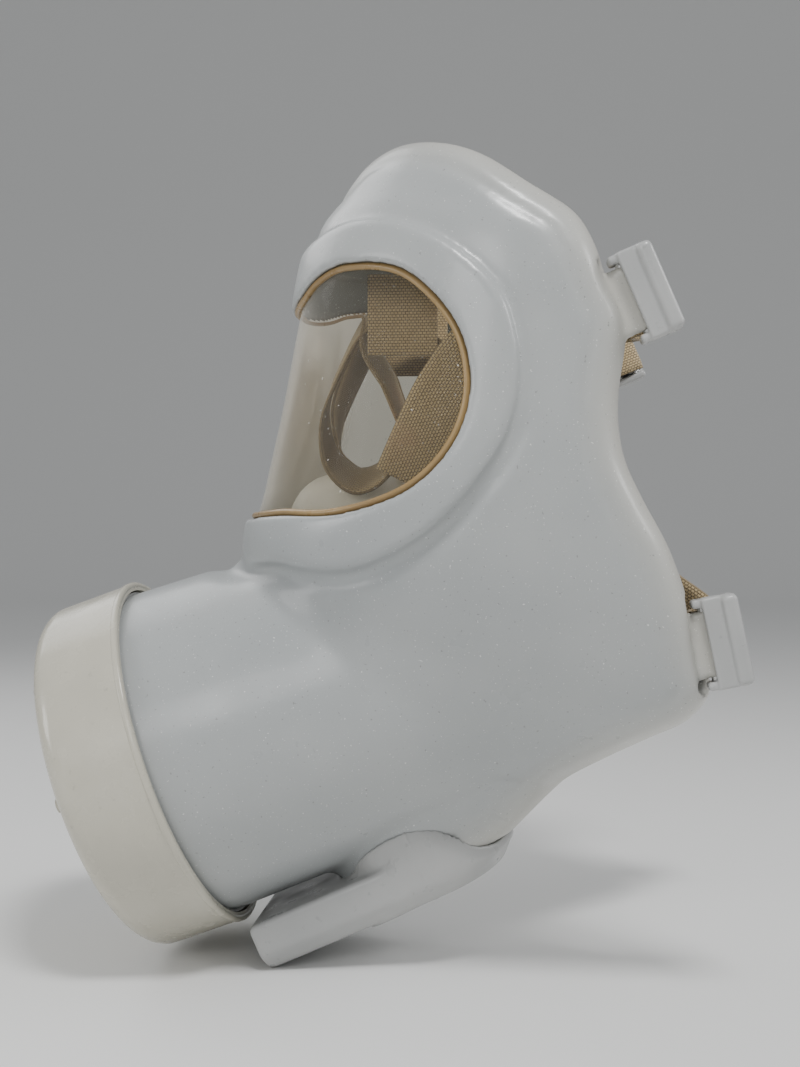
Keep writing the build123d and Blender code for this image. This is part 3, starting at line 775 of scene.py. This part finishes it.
def harness():
    """Four straps folded in over the rim, and a patch of webbing behind each side of the visor."""
    for side, s in SIDES:
        upper = [
            ((53 * s, 5, 45), (0, 0.1, -1)), ((48 * s, -8, 44), (0, 0.15, -1)),
            ((44.5 * s, -26, 42), (0, 0.35, -1)), ((41 * s, -42, 36), (0, 0.75, -0.7)),
            ((37 * s, -54, 22), (0.05 * s, 0.9, -0.5)),
            ((34 * s, -62, 7), (0.1 * s, 0.9, -0.45)), ((31 * s, -69, -8), (0.15 * s, 0.9, -0.4)),
        ]
        harness_strap(f"strap_upper_{side}_web", upper, "upper", side)
        lower = [
            ((46 * s, 26, -56), (0, 0.15, -1)), ((41 * s, 14, -46), (0, 0.5, -0.85)),
            ((37 * s, -6, -30), (0, 0.6, -0.8)), ((32 * s, -26, -10), (0.1 * s, 0.65, -0.75)),
            ((26 * s, -44, 14), (0.3 * s, 0.65, -0.7)),
            ((19 * s, -60, 38), (0.6 * s, 0.5, -0.6)), ((14 * s, -72, 50), (0.8 * s, 0.1, -0.45)),
            ((15 * s, -83, 46), (0.85 * s, 0, -0.42)), ((15 * s, -91, 33), (0.85 * s, 0, -0.42)),
            ((15 * s, -97, 16), (0.85 * s, 0, -0.42)), ((15 * s, -95, 1), (0.85 * s, 0, -0.42)),
            ((15 * s, -86, -7), (0.85 * s, 0, -0.42)), ((15 * s, -76, -2), (0.85 * s, 0, -0.42)),
            ((15 * s, -71, 10), (0.85 * s, 0, -0.42)), ((15 * s, -75, 25), (0.85 * s, 0, -0.42)),
            ((15 * s, -82, 38), (0.85 * s, 0, -0.42)), ((14 * s, -83, 47), (0.85 * s, 0, -0.42)),
        ]
        harness_strap(f"strap_lower_{side}_web", lower, "lower", side)
    for side, s in SIDES:
        patch = [((30.5 * s, y, 47.0), (0, 0, -1)) for y in (-81, -73, -66, -58)]
        knots = [(np.array(p, float), np.array(d, float)) for p, d in patch]
        obj = ribbon(f"harness_patch_{side}_web", knots, width=PATCH_WIDTH)
        place(obj, "facepiece", "webbing", "harness_patch")


# --- Stage, light and camera -------------------------------------------------------------------
def stage():
    """Pale floor with a swept back, soft lamps, and the camera at the object's right side."""
    floor_z = CAD_BOX[0][2] - 0.0002
    pale = Shader("floor_pale", (0.78, 0.78, 0.77), 0.75)
    reach, rise, bend = 2.5, 3.0, 1.2
    curve = [(4.0, 0.0)] + [(-reach - bend * sin(t), bend * (1 - cos(t))) for t in np.linspace(0, pi / 2, 24)]
    curve.append((-reach - bend, rise))
    verts = [(x, y, floor_z + z) for x, z in curve for y in (-5.0, 5.0)]
    faces = [(2 * k, 2 * k + 2, 2 * k + 3, 2 * k + 1) for k in range(len(curve) - 1)]
    floor = mesh_object("floor", verts, faces, pale.mat)
    world = bpy.data.worlds.new("studio")
    bpy.context.scene.world = world
    world.use_nodes = True
    world.node_tree.nodes["Background"].inputs["Color"].default_value = (0.93, 0.95, 0.97, 1)
    world.node_tree.nodes["Background"].inputs["Strength"].default_value = 0.4
    aim = Vector((0, -0.06, -0.03))
    for name, at, span, power in (
        ("key", (0.5, 0.1, 0.85), 0.22, 8),
        ("fill", (0.85, -0.35, 0.25), 0.3, 1.5),
        ("rim", (-0.5, -0.7, 0.6), 0.6, 2.5),
        ("front", (0.3, -0.9, 0.15), 0.3, 1.6),
        ("back", (0.05, 0.8, 0.45), 0.3, 2.6),
    ):
        lamp = bpy.data.lights.new(name, "AREA")
        lamp.energy, lamp.size = power, span
        obj = bpy.data.objects.new(name, lamp)
        bpy.context.collection.objects.link(obj)
        obj.location = at
        obj.rotation_euler = (aim - Vector(at)).to_track_quat("-Z", "Y").to_euler()
    camera = bpy.data.cameras.new("camera")
    camera.lens, camera.sensor_width = 48.1, 36
    obj = bpy.data.objects.new("camera", camera)
    bpy.context.collection.objects.link(obj)
    look = Vector((0, -0.073, -0.025))
    turn = radians(5)
    obj.location = look + Vector((cos(turn), sin(turn), 0)) * 0.5
    obj.rotation_euler = (look - obj.location).to_track_quat("-Z", "Y").to_euler()
    camera.clip_start = 0.01
    bpy.context.scene.camera = obj


stage()
dress_cad()
facepiece()
visor()
cap_bead()
valve_cover()
nose_cup()
for level in ("upper", "lower"):
    for side, _ in SIDES:
        buckle(f"{level}_{side}")
harness()
